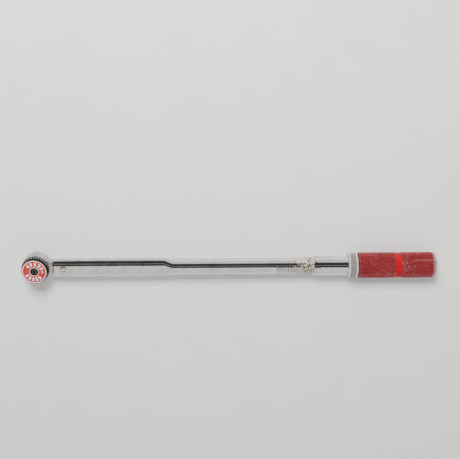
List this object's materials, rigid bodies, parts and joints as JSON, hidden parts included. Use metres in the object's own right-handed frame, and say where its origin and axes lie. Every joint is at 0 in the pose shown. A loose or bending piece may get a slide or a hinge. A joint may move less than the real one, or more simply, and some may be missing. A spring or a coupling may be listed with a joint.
{
  "type": "micrometer torque wrench",
  "caption": "Long click-type torque wrench with a round ratchet head, reversing dial, square drive, chrome tube, scaled thimble, lock ring and red knurled grip.",
  "frame": {"origin": "centre of the square drive's flat tip", "axes": "+X along the tube from the drive to the grip, +Z from the drive up through the reversing dial, +Y to the tube's side"},
  "size_m": [0.6089, 0.042, 0.047],
  "materials": {
    "chrome": "polished chrome plate, lightly scratched, with rust specks near the scale",
    "satin_chrome": "satin chrome plate",
    "plated_pin": "pale yellow zinc plate",
    "black_oxide": "black oxide with worn edges",
    "label_red": "printed disc, red field with pale shapes",
    "red_grip": "red anodised, knurled and worn, with a smooth bright band",
    "bare_aluminium": "worn bare aluminium with traces of red",
    "steel": "ground alloy steel",
    "spring_steel": "oil-tempered spring wire",
    "bronze": "bearing bronze",
    "rubber": "nitrile rubber"
  },
  "bodies": {
    "tube": {"main_tube": "chrome", "pivot_pin": "plated_pin", "adjusting_nut": "bronze", "nut_pin_left": "steel", "nut_pin_right": "steel", "main_spring": "spring_steel"},
    "head": {"ratchet_head": "satin_chrome", "cover_plate": "satin_chrome", "snap_ring": "spring_steel", "thrust_washer": "bronze", "pawl_pin": "steel", "dial_screw": "black_oxide", "dial_washer": "black_oxide", "dial_detent_ball": "steel", "dial_detent_spring": "spring_steel"},
    "drive_gear": {"ratchet_gear": "steel", "socket_ball_spring": "spring_steel"},
    "socket_ball": {"socket_ball": "steel"},
    "dial": {"reverse_dial": "black_oxide", "dial_label": "label_red", "shift_pin": "steel"},
    "pawl": {"pawl": "steel"},
    "plunger": {"plunger": "steel"},
    "cam_block": {"cam_block": "steel"},
    "thrust_seat": {"rear_spring_seat": "steel", "thrust_ball": "steel"},
    "grip": {"thimble": "chrome", "adjusting_screw": "steel", "handle_plug": "steel", "screw_pin": "steel", "grip_sleeve": "red_grip", "end_cap": "bare_aluminium", "lock_clip": "spring_steel", "lock_o_ring": "rubber"},
    "lock_ring": {"lock_ring": "satin_chrome"},
    "lock_ball_1": {"lock_ball_1": "steel"},
    "lock_ball_2": {"lock_ball_2": "steel"},
    "lock_ball_3": {"lock_ball_3": "steel"}
  },
  "joints": [
    {"name": "head_pivot", "type": "hinge", "parent": "tube", "child": "head", "pos_m": [0.0401, 0, 0.028], "axis": [0, 0, 1], "range_deg": [-1.1, 1.1], "stiffness_Nm_per_rad": 5},
    {"name": "drive_spin", "type": "hinge", "parent": "head", "child": "drive_gear", "pos_m": [0, 0, 0.02], "axis": [0, 0, 1], "continuous": true},
    {"name": "socket_ball_slide", "type": "slide", "parent": "drive_gear", "child": "socket_ball", "axis": [1, 0, 0], "range_m": [0, 0.001], "stiffness_N_per_m": 20, "springref_m": -0.002, "deforming": ["socket_ball_spring"]},
    {"name": "dial_turn", "type": "hinge", "parent": "head", "child": "dial", "pos_m": [0, 0, 0.04], "axis": [0, 0, 1], "range_deg": [-36, 0]},
    {"name": "pawl_rock", "type": "hinge", "parent": "head", "child": "pawl", "pos_m": [0.0172, 0, 0.028], "axis": [0, 0, 1], "range_deg": [-0.5, 10.5]},
    {"name": "cam_tilt", "type": "hinge", "parent": "plunger", "child": "cam_block", "pos_m": [0.1972, 0, 0.028], "axis": [0, 0, 1], "range_deg": [-21.5, 21.5]},
    {"name": "plunger_slide", "type": "slide", "parent": "tube", "child": "plunger", "axis": [1, 0, 0], "range_m": [0, 0.002], "stiffness_N_per_m": 400, "springref_m": -0.005, "deforming": ["main_spring"]},
    {"name": "seat_slide", "type": "slide", "parent": "tube", "child": "thrust_seat", "axis": [-1, 0, 0], "range_m": [0, 0.051], "deforming": ["main_spring"]},
    {"name": "grip_turn", "type": "hinge", "parent": "thrust_seat", "child": "grip", "pos_m": [0.48, 0, 0.028], "axis": [1, 0, 0], "range_deg": [0, 8640]},
    {"name": "lock_slide", "type": "slide", "parent": "grip", "child": "lock_ring", "axis": [1, 0, 0], "range_m": [0, 0.0012]},
    {"name": "lock_ball_1_slide", "type": "slide", "parent": "grip", "child": "lock_ball_1", "axis": [0, 0, -1], "range_m": [0, 0.00072]},
    {"name": "lock_ball_2_slide", "type": "slide", "parent": "grip", "child": "lock_ball_2", "axis": [0, 0.866, 0.5], "range_m": [0, 0.00072]},
    {"name": "lock_ball_3_slide", "type": "slide", "parent": "grip", "child": "lock_ball_3", "axis": [0, -0.866, 0.5], "range_m": [0, 0.00072]}
  ],
  "couplings": [
    {"joint": "pawl_rock", "follows": "dial_turn", "ratio": -0.27778},
    {"joint": "cam_tilt", "follows": "head_pivot", "ratio": -19},
    {"joint": "seat_slide", "follows": "grip_turn", "m_per_rad": 0.00033688},
    {"joint": "lock_ball_1_slide", "follows": "lock_slide", "ratio": 0.58333},
    {"joint": "lock_ball_2_slide", "follows": "lock_slide", "ratio": 0.58333},
    {"joint": "lock_ball_3_slide", "follows": "lock_slide", "ratio": 0.58333}
  ]
}
